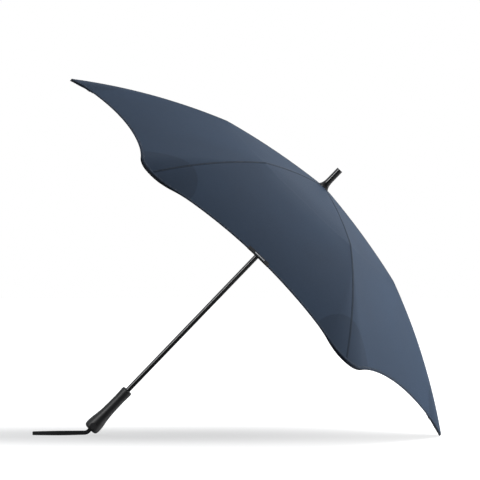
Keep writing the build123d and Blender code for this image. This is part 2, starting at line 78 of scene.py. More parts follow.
# unit vector in plan along the middle of the panel on rib 0's + side
TO_MIDDLE = np.array([math.cos(HALF_PANEL), math.sin(HALF_PANEL)])
KNEE_RISE = 6 * MM
CROWN_RADIUS = 14 * MM
TIP_DROP = 226 * MM
crown_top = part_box("canopy")[1]
KNEE_RADIUS = JOINTS["knee_flex_1"]["pos_m"][0]
RIDGE_START = np.array([CROWN_RADIUS, crown_top.z])
RIDGE_KNEE = np.array([KNEE_RADIUS, JOINTS["knee_flex_1"]["pos_m"][2] + KNEE_RISE])
RIDGE_TIP = np.array([crown_top.x, crown_top.z - TIP_DROP])
INNER_BOW = 5 * MM
OUTER_BOW = 14 * MM

# ---- the canopy's surface ----
CRISP_CORNER = 4 * MM
TIP_CORNER = 150 * MM
TIP_ROUND = 90 * MM
SCALLOP_MIDDLE = 502 * MM
KNEE_BLEND = 60 * MM
RIDGE_SHOULDER = 30 * MM
CLOTH = 0.5 * MM
FARTHEST_SECTION = 750 * MM
RIM_ALLOWANCE = 5 * MM
HALVINGS = 40


class Arc:
    """A shallow arch through two points (distance, height) and their raised middle."""

    def __init__(self, start, end, bow):
        middle = (start + end) / 2 + np.array([0, bow])
        rows = np.array([middle - start, end - start])
        sums = np.array([middle @ middle - start @ start, end @ end - start @ start]) / 2
        self.centre = np.linalg.solve(rows, sums)
        self.radius = np.linalg.norm(start - self.centre)

    def height(self, distance):
        across = distance - self.centre[0]
        return self.centre[1] + np.sqrt(self.radius**2 - across**2)

    def slope(self, distance):
        across = distance - self.centre[0]
        return -across / np.sqrt(self.radius**2 - across**2)


INNER_ARC = Arc(RIDGE_START, RIDGE_KNEE, INNER_BOW)
OUTER_ARC = Arc(RIDGE_KNEE, RIDGE_TIP, OUTER_BOW)


def ridge_height(distance):
    """Height of the ridge over a rib, with its bend at the knee."""
    inner = INNER_ARC.height(np.minimum(distance, KNEE_RADIUS))
    outer = OUTER_ARC.height(np.maximum(distance, KNEE_RADIUS))
    return np.where(distance < KNEE_RADIUS, inner, outer)


def cubic(share, first, first_rise, last, last_rise):
    """A smooth curve over share 0 to 1, from its value and rise at either end."""
    squared, cubed = share**2, share**3
    return (
        first * (2 * cubed - 3 * squared + 1)
        + first_rise * (cubed - 2 * squared + share)
        + last * (3 * squared - 2 * cubed)
        + last_rise * (cubed - squared)
    )


def eased_height(distance):
    """The same ridge with its knee rounded off, which is what the cloth between ribs follows."""
    start, end = KNEE_RADIUS - KNEE_BLEND, KNEE_RADIUS + KNEE_BLEND
    span = end - start
    share = np.clip((distance - start) / span, 0, 1)
    first, first_rise = INNER_ARC.height(start), INNER_ARC.slope(start) * span
    last, last_rise = OUTER_ARC.height(end), OUTER_ARC.slope(end) * span
    eased = cubic(share, first, first_rise, last, last_rise)
    inside = (distance > start) & (distance < end)
    return np.where(inside, eased, ridge_height(distance))


def corner_radius(distance):
    """Radius of the cloth's rounding over the rib: crisp to the knee, broad at the tip."""
    share = np.clip((distance - KNEE_RADIUS) / (RIDGE_TIP[0] - KNEE_RADIUS), 0, 1)
    return CRISP_CORNER + (TIP_CORNER - CRISP_CORNER) * share**2


def sheet_height(distance, lateral):
    """Height of the cloth on the section through a ridge distance, beside the rib by lateral."""
    beside = 1 - np.exp(-((lateral / RIDGE_SHOULDER) ** 2))
    exact = ridge_height(distance)
    return exact + (eased_height(distance) - exact) * beside


def sheet_point(distance, across):
    """A point of the half panel on a rib's + side. Across runs 0 to 1 round the section's
    corner and 1 to 2 along its straight side to the panel's middle."""
    round_radius = corner_radius(distance)
    corner = distance - round_radius
    angle = np.clip(across, 0, 1) * HALF_PANEL
    side = corner * np.cos(HALF_PANEL) + round_radius
    share = np.clip(across - 1, 0, 1)
    foot_x = corner + round_radius * np.cos(angle)
    foot_y = round_radius * np.sin(angle)
    x = foot_x + (side * np.cos(HALF_PANEL) - foot_x) * share
    y = foot_y + (side * np.sin(HALF_PANEL) - foot_y) * share
    return np.stack([x, y, sheet_height(distance, y)], -1)


def halved(low, high, past):
    """The values between low and high from which past() holds, found by halving the gap."""
    for _ in range(HALVINGS):
        middle = (low + high) / 2
        beyond = past(middle)
        low, high = np.where(beyond, low, middle), np.where(beyond, middle, high)
    return (low + high) / 2


def ridge_distance(x, y):
    """The ridge distance of the section that passes over a point of the plan."""

    def reaches(distance):
        round_radius = corner_radius(distance)
        corner = distance - round_radius
        side = corner * np.cos(HALF_PANEL) + round_radius
        in_corner = np.arctan2(y, x - corner) < HALF_PANEL
        straight = x * np.cos(HALF_PANEL) + y * np.sin(HALF_PANEL) - side
        curved = np.hypot(x - corner, y) - round_radius
        return np.where(in_corner & (x > corner), curved, straight) <= 0

    return halved(np.zeros_like(x), np.full_like(x, FARTHEST_SECTION), reaches)


def sheet_over(x, y):
    """Points of the cloth over a plan point on a rib's + side."""
    lateral = np.abs(y)
    return np.stack([x, y, sheet_height(ridge_distance(x, lateral), lateral)], -1)


# The rim from above: a round tip about one centre, then a hollow scallop about another.
TIP_CENTRE = np.array([RIDGE_TIP[0] - TIP_ROUND, 0.0])


def scallop_radius():
    """Radius of the hollow arc that leaves the panel's middle square and meets both tips."""
    gap = SCALLOP_MIDDLE * TO_MIDDLE - TIP_CENTRE
    # |TIP_CENTRE - (SCALLOP_MIDDLE + R) TO_MIDDLE| = R + TIP_ROUND
    return (gap @ gap - TIP_ROUND**2) / (2 * (TIP_ROUND - gap @ TO_MIDDLE))


SCALLOP = scallop_radius()
SCALLOP_CENTRE = (SCALLOP_MIDDLE + SCALLOP) * TO_MIDDLE
JOIN_ANGLE = math.atan2(*(SCALLOP_CENTRE - TIP_CENTRE)[::-1])


def beyond_rim(x, y):
    """How far a plan point lies outside the rim, below 0 inside it."""
    turn = np.arctan2(y - TIP_CENTRE[1], x - TIP_CENTRE[0])
    at_tip = np.hypot(x - TIP_CENTRE[0], y - TIP_CENTRE[1]) - TIP_ROUND
    at_scallop = SCALLOP - np.hypot(x - SCALLOP_CENTRE[0], y - SCALLOP_CENTRE[1])
    return np.where(turn < JOIN_ANGLE, at_tip, at_scallop)


def rim_distance(across):
    """The ridge distance at which each line across the panel meets the rim."""

    def past_rim(distance):
        point = sheet_point(distance, across)
        return beyond_rim(point[..., 0], point[..., 1]) > 0

    knee = np.full_like(across, KNEE_RADIUS)
    return halved(knee, np.full_like(across, RIDGE_TIP[0] + RIM_ALLOWANCE), past_rim)


def unit(vectors):
    """Vectors of length 1 in the same directions."""
    return vectors / np.linalg.norm(vectors, axis=-1, keepdims=True)


def sheet_normal(distance, across):
    """Outward normals of the cloth at points of a half panel."""
    step = 0.5 * MM
    edge = 1e-3
    outward = sheet_point(distance + step, across) - sheet_point(distance - step, across)
    inner = np.maximum(across - edge, 0)
    outer = np.minimum(across + edge, 2)
    sideways = sheet_point(distance, outer) - sheet_point(distance, inner)
    at_ridge = (across < edge)[..., None]
    sideways = np.where(at_ridge, np.array([0.0, 1.0, 0.0]), sideways)
    return unit(np.cross(outward, sideways))


# ---- mesh building ----
class Shape:
    """Points and faces gathered for one object, with a material number for each face."""

    def __init__(self):
        self.points = []
        self.faces = []
        self.slots = []
        self.uv = []
        self.count = 0

    def add(self, points, faces, slot=0, uv=None):
        """Add one part; its plan coordinates serve where no uv is given."""
        points = np.asarray(points, float).reshape(-1, 3)
        self.points.append(points)
        self.uv.append(points[:, :2] if uv is None else np.asarray(uv, float).reshape(-1, 2))
        self.faces += [[corner + self.count for corner in face] for face in faces]
        self.slots += [slot] * len(faces)
        self.count += len(points)
        return self


def sheet_faces(rows, columns):
    """Faces of a closed sheet: a top grid, the same grid below it, and the four edges."""
    below = rows * columns

    def at(i, j):
        return i * columns + j

    faces = []
    for i in range(rows - 1):
        for j in range(columns - 1):
            face = [at(i, j), at(i + 1, j), at(i + 1, j + 1), at(i, j + 1)]
            faces.append(face)
            faces.append([corner + below for corner in reversed(face)])
    border = [at(i, 0) for i in range(rows)]
    border += [at(rows - 1, j) for j in range(1, columns)]
    border += [at(i, columns - 1) for i in range(rows - 2, -1, -1)]
    border += [at(0, j) for j in range(columns - 2, 0, -1)]
    for a, b in zip(border, border[1:] + border[:1]):
        faces.append([b, a, a + below, b + below])
    return faces


def sweep_faces(rings, size, closed=False):
    """Faces of a tube of rings, with flat ends unless it closes on itself."""
    faces = []
    for i in range(rings if closed else rings - 1):
        after = (i + 1) % rings
        for j in range(size):
            beside = (j + 1) % size
            faces.append([i * size + j, after * size + j, after * size + beside, i * size + beside])
    if not closed:
        faces.append(list(range(size)))
        faces.append([(rings - 1) * size + j for j in reversed(range(size))])
    return faces


STITCH_SIDES = 5
STITCH_SHOULDERS = (0.18, 0.82)


def stitch_shape(starts, ends, normals, radius):
    """Small spindles of thread from starts to ends, half sunk in the cloth."""
    length = ends - starts
    along = unit(length)
    beside = np.cross(along, normals)
    rings = [starts]
    for share in STITCH_SHOULDERS:
        for side in range(STITCH_SIDES):
            turn = 2 * math.pi * side / STITCH_SIDES
            offset = (math.cos(turn) * beside + math.sin(turn) * normals) * radius
            rings.append(starts + length * share + offset)
    rings.append(ends)
    points = np.stack(rings, 1)
    last = 1 + 2 * STITCH_SIDES
    pattern = []
    for side in range(STITCH_SIDES):
        after = (side + 1) % STITCH_SIDES
        pattern.append([0, 1 + after, 1 + side])
        pattern.append([1 + side, 1 + after, 1 + STITCH_SIDES + after, 1 + STITCH_SIDES + side])
        pattern.append([1 + STITCH_SIDES + side, 1 + STITCH_SIDES + after, last])
    faces = []
    for number in range(len(starts)):
        base = number * (last + 1)
        faces += [[corner + base for corner in face] for face in pattern]
    return points.reshape(-1, 3), faces


def stitches_along(path, normals, pitch, length, radius):
    """Stitches at an even pitch along a path of points."""
    steps = np.linalg.norm(np.diff(path, axis=0), axis=1)
    travelled = np.concatenate([[0], np.cumsum(steps)])
    starts = np.arange(pitch / 2, travelled[-1] - length, pitch)

    def along(values, where):
        return np.stack([np.interp(where, travelled, values[:, k]) for k in range(3)], -1)

    first, last = along(path, starts), along(path, starts + length)
    return stitch_shape(first, last, unit(along(normals, starts)), radius)


def new_object(name, data):
    """A new object in the scene."""
    made = bpy.data.objects.new(name, data)
    bpy.context.scene.collection.objects.link(made)
    return made


def make_object(name, shape, materials, sharp=40):
    """A smooth-shaded mesh object with outward faces."""
    mesh = bpy.data.meshes.new(name)
    mesh.from_pydata(np.concatenate(shape.points).tolist(), [], shape.faces)
    for material in materials:
        mesh.materials.append(material)
    mesh.polygons.foreach_set("material_index", shape.slots)
    mesh.polygons.foreach_set("use_smooth", [True] * len(mesh.polygons))
    uv = np.concatenate(shape.uv)
    corners = np.empty(len(mesh.loops), np.int32)
    mesh.loops.foreach_get("vertex_index", corners)
    layer = mesh.uv_layers.new(name="cloth")
    layer.data.foreach_set("uv", uv[corners].astype(np.float32).ravel())
    work = bmesh.new()
    work.from_mesh(mesh)
    bmesh.ops.recalc_face_normals(work, faces=work.faces)
    work.to_mesh(mesh)
    work.free()
    mesh.set_sharp_from_angle(angle=math.radians(sharp))
    mesh.update()
    return new_object(name, mesh)


# ---- materials ----
class Look:
    """A Principled material under construction."""

    def __init__(self, name, colour, roughness, **values):
        self.material = bpy.data.materials.new(name)
        self.material.use_nodes = True
        self.tree = self.material.node_tree
        self.shader = self.tree.nodes["Principled BSDF"]
        self.set("Base Color", (*colour, 1))
        self.set("Roughness", roughness)
        for key, value in values.items():
            self.set(key.replace("_", " "), value)
        self.material.diffuse_color = (*colour, 1)

    def set(self, socket, value):
        self.plug(self.shader.inputs[socket], value)

    def plug(self, socket, value):
        """Link a node's output to a socket, or give the socket a plain value."""
        if isinstance(value, bpy.types.NodeSocket):
            self.tree.links.new(value, socket)
        else:
            socket.default_value = value

    def node(self, kind, inputs=(), output=0, **settings):
        """One output of a new node, with its inputs and settings filled in."""
        made = self.tree.nodes.new("ShaderNode" + kind)
        for key, value in settings.items():
            setattr(made, key, value)
        for key, value in dict(inputs).items():
            self.plug(made.inputs[key], value)
        return made.outputs[output]

    def math(self, operation, first, second=0.0, third=0.0):
        return self.node("Math", {0: first, 1: second, 2: third}, operation=operation)

    def place(self):
        return self.node("TexCoord", output="Object")

    def cloth_place(self):
        """Place on the cloth in metres: as one vector, along it and across it."""
        uv = self.node("UVMap", uv_map="cloth")
        parts = self.tree.nodes.new("ShaderNodeSeparateXYZ")
        self.plug(parts.inputs[0], uv)
        return uv, parts.outputs["X"], parts.outputs["Y"]

    def wave(self, value, pitch):
        return self.math("SINE", self.math("MULTIPLY", value, 2 * math.pi / pitch))

    def stretched(self, scale):
        """Place with each axis scaled, for marks that run along the object."""
        return self.node("Mapping", {"Vector": self.place(), "Scale": scale})

    def noise(self, scale, detail=2.0, vector=None):
        vector = self.place() if vector is None else vector
        return self.node("TexNoise", {"Vector": vector, "Scale": scale, "Detail": detail})

    def between(self, value, low, high):
        """The value, which runs 0 to 1, stretched to run low to high."""
        return self.node("MapRange", {"Value": value, "To Min": low, "To Max": high})

    def step(self, value, start, end, low=0.0, high=1.0):
        """A soft step from low to high as the value passes from start to end."""
        inputs = {"Value": value, "From Min": start, "From Max": end, "To Min": low, "To Max": high}
        return self.node("MapRange", inputs, interpolation_type="SMOOTHSTEP")

    def mix(self, factor, first, second):
        """Colours mixed; the node's own colour sockets are its inputs 6 and 7 and its output 2."""
        made = self.tree.nodes.new("ShaderNodeMix")
        made.data_type = "RGBA"
        self.plug(made.inputs["Factor"], factor)
        for number, colour in ((6, first), (7, second)):
            linked = isinstance(colour, bpy.types.NodeSocket)
            self.plug(made.inputs[number], colour if linked else (*colour, 1))
        return made.outputs[2]

    def bump(self, height, strength, distance, normal=None):
        inputs = {"Height": height, "Strength": strength, "Distance": distance}
        if normal is not None:
            inputs["Normal"] = normal
        return self.node("Bump", inputs)


def scaled(colour, factor):
    """A colour made darker or lighter, held within 1."""
    return tuple(min(1.0, channel * factor) for channel in colour)


NAVY = (0.033, 0.055, 0.094)
POCKET_RADIUS = 104 * MM
POCKET_EDGE = 1.5 * MM
# how far the painted shade over each pocket darkens the cloth
POCKET_SHADE = 0.30
THREAD_PITCH = 0.7 * MM


def cloth_look(name, darker=1.0, pocket=True, sheen=0.06):
    """Tightly woven slate-navy polyester with a satin sheen; where pocket is set, painted shade darkens the cloth
    over each tip's pocket.
    """
    look = Look(name, NAVY, 0.7, Specular_IOR_Level=0.035)
    uv, along_panel, across_panel = look.cloth_place()
    warp = look.wave(along_panel, THREAD_PITCH)
    weft = look.wave(across_panel, THREAD_PITCH)
    weave = look.math("MULTIPLY_ADD", look.math("MULTIPLY", warp, weft), 0.5, 0.5)
    broad = look.noise(5.0, 3.0, uv)
    slub = look.noise(240.0, 2.0, uv)
    shade = look.math("ADD", look.between(broad, 0.86, 1.12), look.between(slub, -0.04, 0.04))
    shade = look.math("ADD", shade, look.between(weave, -0.07, 0.07))
    dark, pale = scaled(NAVY, 0.72 * darker), scaled(NAVY, 1.28 * darker)
    colour = look.mix(look.step(shade, 0.7, 1.3), dark, pale)
    # painted shade: the cloth is drawn darker over each tip's pocket, where the doubled cloth would hold back
    # light shining through
    if pocket:
        tip = RIDGE_TIP[0] * TO_MIDDLE
        along = look.math("SUBTRACT", along_panel, float(tip[0]))
        beside = look.math("SUBTRACT", look.math("ABSOLUTE", across_panel), float(tip[1]))
        squares = look.math("ADD", look.math("POWER", along, 2.0), look.math("POWER", beside, 2.0))
        away = look.math("SQRT", squares)
        inside = look.step(away, POCKET_RADIUS - POCKET_EDGE, POCKET_RADIUS + POCKET_EDGE, 1.0, 0.0)
        colour = look.mix(look.math("MULTIPLY", inside, POCKET_SHADE), colour, scaled(NAVY, 0.35))
    look.set("Base Color", colour)
    rough = look.math("ADD", look.between(broad, 0.64, 0.74), look.between(weave, -0.03, 0.03))
    look.set("Roughness", rough)
    look.set("Sheen Weight", sheen)
    look.set("Sheen Roughness", 0.38)
    look.set("Sheen Tint", (0.78, 0.86, 1.0, 1))
    ripple = look.noise(9.0, 2.0, uv)
    normal = look.bump(ripple, 0.10, 3 * MM)
    look.set("Normal", look.bump(weave, 0.22, 0.12 * MM, normal))
    return look.material


def thread_look():
    """Twisted sewing thread, a little darker than the cloth."""
    look = Look("sewing_thread", scaled(NAVY, 0.8), 0.5)
    twist = look.noise(1800.0, 1.0)
    look.set("Base Color", look.mix(twist, scaled(NAVY, 0.35), scaled(NAVY, 0.8)))
    look.set("Roughness", look.between(twist, 0.4, 0.65))
    return look.material


LACQUER_BLACK = (0.009, 0.009, 0.010)


def lacquer_look(name, roughness=0.16):
    """Gloss lacquer on a drawn tube, with a faint haze of handling marks."""
    look = Look(name, LACQUER_BLACK, roughness, Coat_Weight=0.55, Coat_Roughness=0.08)
    haze = look.noise(38.0, 4.0)
    scuffs = look.noise(1.0, 3.0, look.stretched((900.0, 900.0, 14.0)))
    wear = look.step(scuffs, 0.62, 0.74)
    worn = look.math("MULTIPLY", wear, 0.25)
    look.set("Base Color", look.mix(worn, LACQUER_BLACK, scaled(LACQUER_BLACK, 2.6)))
    hazy = look.between(haze, roughness * 0.8, roughness * 1.35)
    look.set("Roughness", look.math("ADD", hazy, look.math("MULTIPLY", wear, 0.12)))
    look.set("Normal", look.bump(scuffs, 0.02, 0.02 * MM))
    return look.material


def rubber_look():
    """Soft-touch grip: fine stipple, slightly polished where the hand rubs."""
    look = Look("grip_rubber", (0.022, 0.022, 0.023), 0.5, Specular_IOR_Level=0.45)
    stipple = look.noise(1500.0, 2.0)
    patches = look.noise(26.0, 3.0)
    colour = look.mix(patches, (0.028, 0.028, 0.029), (0.044, 0.044, 0.045))
    specks = look.math("MULTIPLY", stipple, 0.3)
    look.set("Base Color", look.mix(specks, colour, (0.06, 0.06, 0.062)))
    rubbed = look.between(patches, 0.38, 0.50)
    look.set("Roughness", look.math("ADD", rubbed, look.between(stipple, -0.04, 0.06)))
    look.set("Sheen Weight", 0.12)
    look.set("Normal", look.bump(stipple, 0.28, 0.08 * MM))
    return look.material


def plastic_look(name, colour, roughness, grain=0.12):
    """Moulded nylon with a spark-eroded grain."""
    look = Look(name, colour, roughness, Specular_IOR_Level=0.5)
    eroded = look.noise(900.0, 3.0)
    flow = look.noise(45.0, 2.0)
    look.set("Base Color", look.mix(flow, scaled(colour, 0.8), scaled(colour, 1.35)))
    smooth = look.between(flow, roughness * 0.85, roughness * 1.1)
    look.set("Roughness", look.math("ADD", smooth, look.between(eroded, -0.05, 0.05)))
    look.set("Normal", look.bump(eroded, grain, 0.06 * MM))
    return look.material


def metal_look(name, colour, roughness, metallic=1.0):
    """Drawn or turned metal with its tool marks."""
    look = Look(name, colour, roughness, Metallic=metallic)
    marks = look.noise(1.0, 3.0, look.stretched((1200.0, 1200.0, 30.0)))
    tarnish = look.noise(60.0, 3.0)
    look.set("Base Color", look.mix(tarnish, scaled(colour, 0.78), scaled(colour, 1.08)))
    brushed = look.between(marks, roughness * 0.7, roughness * 1.3)
    look.set("Roughness", look.math("ADD", brushed, look.between(tarnish, 0.0, 0.06)))
    look.set("Normal", look.bump(marks, 0.08, 0.04 * MM))
    return look.material


def fibre_look():
    """Glass-fibre rod, black, with faint glossy patches."""
    look = Look("fibreglass", (0.014, 0.014, 0.015), 0.32, Specular_IOR_Level=0.55)
    patches = look.noise(1.0, 4.0, look.stretched((240.0, 240.0, 240.0)))
    look.set("Base Color", look.mix(patches, (0.008, 0.008, 0.009), (0.030, 0.030, 0.032)))
    look.set("Roughness", look.between(patches, 0.24, 0.42))
    look.set("Normal", look.bump(patches, 0.10, 0.05 * MM))
    return look.material


def tape_look(name, colour, rib_pitch):
    """Flat woven tape with fine ribs across it."""
    look = Look(name, colour, 0.75, Specular_IOR_Level=0.1)
    uv, _, across_tape = look.cloth_place()
    ribs = look.math("MULTIPLY_ADD", look.wave(across_tape, rib_pitch), 0.5, 0.5)
    fuzz = look.noise(900.0, 2.0, uv)
    shade = look.math("ADD", look.math("MULTIPLY", ribs, 0.6), look.math("MULTIPLY", fuzz, 0.4))
    look.set("Base Color", look.mix(shade, scaled(colour, 0.75), scaled(colour, 1.2)))
    look.set("Roughness", look.between(fuzz, 0.6, 0.8))
    look.set("Normal", look.bump(shade, 0.3, 0.1 * MM))
    return look.material


def webbing_look():
    """Black woven strap with a herringbone weave and a fine fuzz."""
    look = Look("webbing", (0.012, 0.012, 0.013), 0.72, Specular_IOR_Level=0.35)
    _, along_strap, across_strap = look.cloth_place()
    slant = look.math("MULTIPLY", look.math("ABSOLUTE", across_strap), 0.8)
    rows = look.wave(look.math("ADD", along_strap, slant), 0.8 * MM)
    columns = look.wave(across_strap, 0.6 * MM)
    both = look.math("ADD", rows, look.math("MULTIPLY", columns, 0.5))
    weave = look.math("MULTIPLY_ADD", both, 0.33, 0.5)
    fuzz = look.noise(2200.0, 2.0)
    look.set("Base Color", look.mix(weave, (0.006, 0.006, 0.007), (0.028, 0.028, 0.030)))
    look.set("Roughness", look.between(fuzz, 0.6, 0.85))
    look.set("Sheen Weight", 0.35)
    look.set("Sheen Roughness", 0.5)
    look.set("Normal", look.bump(weave, 0.5, 0.12 * MM, look.bump(fuzz, 0.15, 0.05 * MM)))
    return look.material


CLOTH_LOOK = cloth_look("canopy_cloth")
HEM_LOOK = cloth_look("canopy_hem", darker=0.62, pocket=False)
SEAM_LOOK = cloth_look("canopy_seam", darker=0.55, sheen=0.0)
LINING_LOOK = cloth_look("pocket_lining", darker=0.7, pocket=False)
THREAD_LOOK = thread_look()
WEBBING_LOOK = webbing_look()
TAPE_LOOK = tape_look("closing_tape", (0.010, 0.012, 0.016), 0.9 * MM)
PIPING_LOOK = tape_look("closing_piping", (0.006, 0.006, 0.007), 0.6 * MM)
BINDING_LOOK = tape_look("pocket_binding", scaled(NAVY, 0.28), 0.8 * MM)
LABEL_LOOK = tape_look("blank_label", (0.50, 0.51, 0.53), 0.35 * MM)
BLACK = (0.012, 0.012, 0.013)
SLOT_LOOKS = {
    "shaft_black": lacquer_look("shaft_black"),
    "gloss_black": lacquer_look("gloss_black", roughness=0.14),
    "grip_rubber": rubber_look(),
    "badge_plastic": plastic_look("badge_plastic", (0.055, 0.055, 0.057), 0.5, grain=0.05),
    "black_plastic": plastic_look("black_plastic", BLACK, 0.42),
    "rib_steel": metal_look("rib_steel", (0.05, 0.05, 0.055), 0.34, metallic=0.6),
    "steel": metal_look("steel", (0.42, 0.42, 0.44), 0.30),
    "fibreglass": fibre_look(),
    "webbing": WEBBING_LOOK,
    "canopy_cloth": CLOTH_LOOK,
}

# ---- canopy ----
CORNER_COLUMNS = 16
SIDE_COLUMNS = 24
INNER_ROWS = 26
OUTER_ROWS = 40
ACROSS = np.concatenate(
    [np.linspace(0, 1, CORNER_COLUMNS + 1), 1 + np.linspace(0, 1, SIDE_COLUMNS + 1)[1:]]
)
RIM = rim_distance(ACROSS)


def placed(points, rib, side):
    """Points of rib 0's + side moved to another rib, and mirrored for its other side."""
    mirrored = np.array(points, float).reshape(-1, 3) * (1, side, 1)
    angle = 2 * math.pi * rib / RIB_COUNT
    c, s = math.cos(angle), math.sin(angle)
    return mirrored @ np.array([[c, s, 0], [-s, c, 0], [0, 0, 1]])


def panel_uv(points):
    """Plan coordinates along and across the panel, so that the weave runs through its middle."""
    c, s = TO_MIDDLE
    x, y = points[..., 0], points[..., 1]
    return np.stack([x * c + y * s, x * s - y * c], -1)


# at the knees the outer sheets start under the inner ones, whose border is thin
TUCK = 24 * MM
TUCK_GAP = 0.08 * MM
THIN_CLOTH = 0.1 * MM


def wedge(distances, tuck=False):
    """Top and bottom of a thin closed sheet over a grid of section distances. The inner sheet
    thins towards the knee, and the outer one starts tucked under that thin border."""
    across = np.broadcast_to(ACROSS, distances.shape)
    top = sheet_point(distances, across)
    before_knee = np.maximum(KNEE_RADIUS - distances, 0)
    border = THIN_CLOTH + (CLOTH - THIN_CLOTH) * np.minimum(before_knee / TUCK, 1)
    if tuck:
        top[..., 2] -= np.where(before_knee > 0, border + TUCK_GAP, 0)
        thick = CLOTH
    else:
        thick = border[..., None]
    below = top - sheet_normal(distances, across) * thick
    points = np.concatenate([top.reshape(-1, 3), below.reshape(-1, 3)])
    return points, sheet_faces(*distances.shape)


# the hem's section: inward from the sheet's edge and up from its surface
HEM_SECTION = np.array(
    [(-0.5, -0.2), (-0.35, 0.3), (0.2, 0.55), (3.0, 0.5), (6.0, 0.42), (6.5, 0.1), (6.5, -0.6),
     (6.0, -0.95), (3.0, -1.05), (0.2, -1.05), (-0.35, -0.75)]
) * MM
HEM_STITCH_LINE = np.array([4.6, 0.5]) * MM
# pitch, length and thread radius of each kind of stitch
HEM_STITCH = (3.4 * MM, 2.3 * MM, 0.17 * MM)
SEAM_STITCH = (3.6 * MM, 2.5 * MM, 0.15 * MM)
TAB_STITCH = (3.0 * MM, 2.1 * MM, 0.17 * MM)
TAB_END_STITCH = (2.6 * MM, 1.8 * MM, 0.17 * MM)
STRAP_STITCH = (1.8 * MM, 1.5 * MM, 0.16 * MM)


def hem_shape():
    """The rim's turned edge as a flat tube round the sheet's edge, and its line of stitches."""
    points = sheet_point(RIM, ACROSS)
    normals = sheet_normal(RIM, ACROSS)
    tangent = np.gradient(points, axis=0)
    tangent[0] = (0, 1, 0)
    tangent[-1] = (-TO_MIDDLE[1], TO_MIDDLE[0], 0)
    inward = unit(np.cross(normals, tangent))
    in_part = inward[:, None] * HEM_SECTION[None, :, :1]
    up_part = normals[:, None] * HEM_SECTION[None, :, 1:]
    rings = points[:, None] + in_part + up_part
    faces = sweep_faces(len(points), len(HEM_SECTION))
    line = points + inward * HEM_STITCH_LINE[0] + normals * HEM_STITCH_LINE[1]
    return (rings.reshape(-1, 3), faces), stitches_along(line, normals, *HEM_STITCH)


# ---- pockets under the tips ----
POCKET_APEX = RIDGE_TIP[0] - 1.5 * MM
POCKET_DEPTH = 13.2 * MM
POCKET_SIDE = 20 * MM
POCKET_SHEET = 0.4 * MM
POCKET_TURN = math.radians(84)
POCKET_COLUMNS = 24
# shares of the way from the pocket's apex to its edge
POCKET_ROWS = np.concatenate([np.linspace(0.02, 0.8, 14), np.linspace(0.83, 1, 8)])
RIM_CLEARANCE = 1 * MM
SEARCH_STEPS = 400
UNDERSIDE_RADIUS = 112 * MM
CLOSING_WIDTH = 15 * MM
MOUTH_WIDTH = 9 * MM
MOUTH_FULLNESS = 0.5
BINDING_DEPTH = 4.8 * MM
BINDING_LEAST = 0.5 * MM
BINDING_FULL = 15 * MM
BINDING_BEYOND = 8 * MM
BINDING_LAP = 0.3 * MM
BINDING_COLUMNS = 161
# the binding's section: millimetres outward from the rim and share of the drop
BINDING_SECTION = (
    (0.55, 0.0), (0.75, 0.25), (0.75, 0.85), (0.45, 1.0), (-0.25, 1.0), (-0.35, 0.5), (-0.25, 0.0)
)


def eased(value, start, end):
    """0 before start, 1 after end, with a soft rise between them."""
    share = np.clip((value - start) / (end - start), 0, 1)
    return share**2 * (3 - 2 * share)


def binding_drop(x, y):
    """How far the pocket's bound edge hangs below the rim, most of all at the tip."""
    away = np.hypot(RIDGE_TIP[0] - x, y)
    return BINDING_LEAST + BINDING_DEPTH * (1 - eased(away, BINDING_FULL, POCKET_RADIUS))


def pocket_drop(x, y):
    """How far the pocket's underside hangs below the cloth: it clears the fittings inside, closes
    at its inner edge, and leaves a mouth there for the rod."""
    edge = binding_drop(x, y)
    closed = eased(UNDERSIDE_RADIUS - np.hypot(RIDGE_TIP[0] - x, y), 0, CLOSING_WIDTH)
    mouth = MOUTH_FULLNESS * np.exp(-((y / MOUTH_WIDTH) ** 2))
    fullness = eased(-beyond_rim(x, y), 0, POCKET_SIDE) * np.maximum(closed, mouth)
    return edge + (POCKET_DEPTH - edge) * fullness


def pocket_shape():
    """The round underside of each tip's pocket, a fan of closed sheet."""
    turns = np.linspace(0, POCKET_TURN, POCKET_COLUMNS)
    steps = np.linspace(0, UNDERSIDE_RADIUS, SEARCH_STEPS)[:, None]
    past_rim = beyond_rim(POCKET_APEX - steps * np.cos(turns), steps * np.sin(turns))
    beyond = past_rim > -RIM_CLEARANCE
    limit = np.where(beyond.any(0), steps[beyond.argmax(0), 0], UNDERSIDE_RADIUS)
    reach = POCKET_ROWS[:, None] * limit[None, :]
    x = POCKET_APEX - reach * np.cos(turns)
    y = reach * np.sin(turns)
    top = sheet_over(x, y)
    top[..., 2] -= pocket_drop(x, y)
    thick = np.array([0, 0, POCKET_SHEET])
    points = np.concatenate([top.reshape(-1, 3), (top - thick).reshape(-1, 3)])
    return points, sheet_faces(*x.shape)


def binding_shape():
    """The dark binding round the pocket's edge, which hangs from the rim to its underside."""
    across_panel = np.linspace(0, 2, BINDING_COLUMNS)
    points = sheet_point(rim_distance(across_panel), across_panel)
    away = np.hypot(points[:, 0] - RIDGE_TIP[0], points[:, 1])
    points = points[away < POCKET_RADIUS + BINDING_BEYOND]
    outward = np.gradient(points[:, :2], axis=0)[:, ::-1] * (1, -1)
    outward[0] = (1, 0)
    outward = unit(np.concatenate([outward, np.zeros((len(points), 1))], 1))
    drop = binding_drop(points[:, 0], points[:, 1]) + 2 * BINDING_LAP
    rings = []
    for across, share in BINDING_SECTION:
        ring = points + outward * across * MM
        ring[:, 2] -= share * drop - BINDING_LAP
        rings.append(ring)
    return np.stack(rings, 1).reshape(-1, 3), sweep_faces(len(points), len(BINDING_SECTION))


# ---- closing band ----
TAB_HALF = 30 * MM
TAB_THICK = 1.1 * MM
TAB_BASE = 0.5 * MM
TAB_COLUMNS = 12
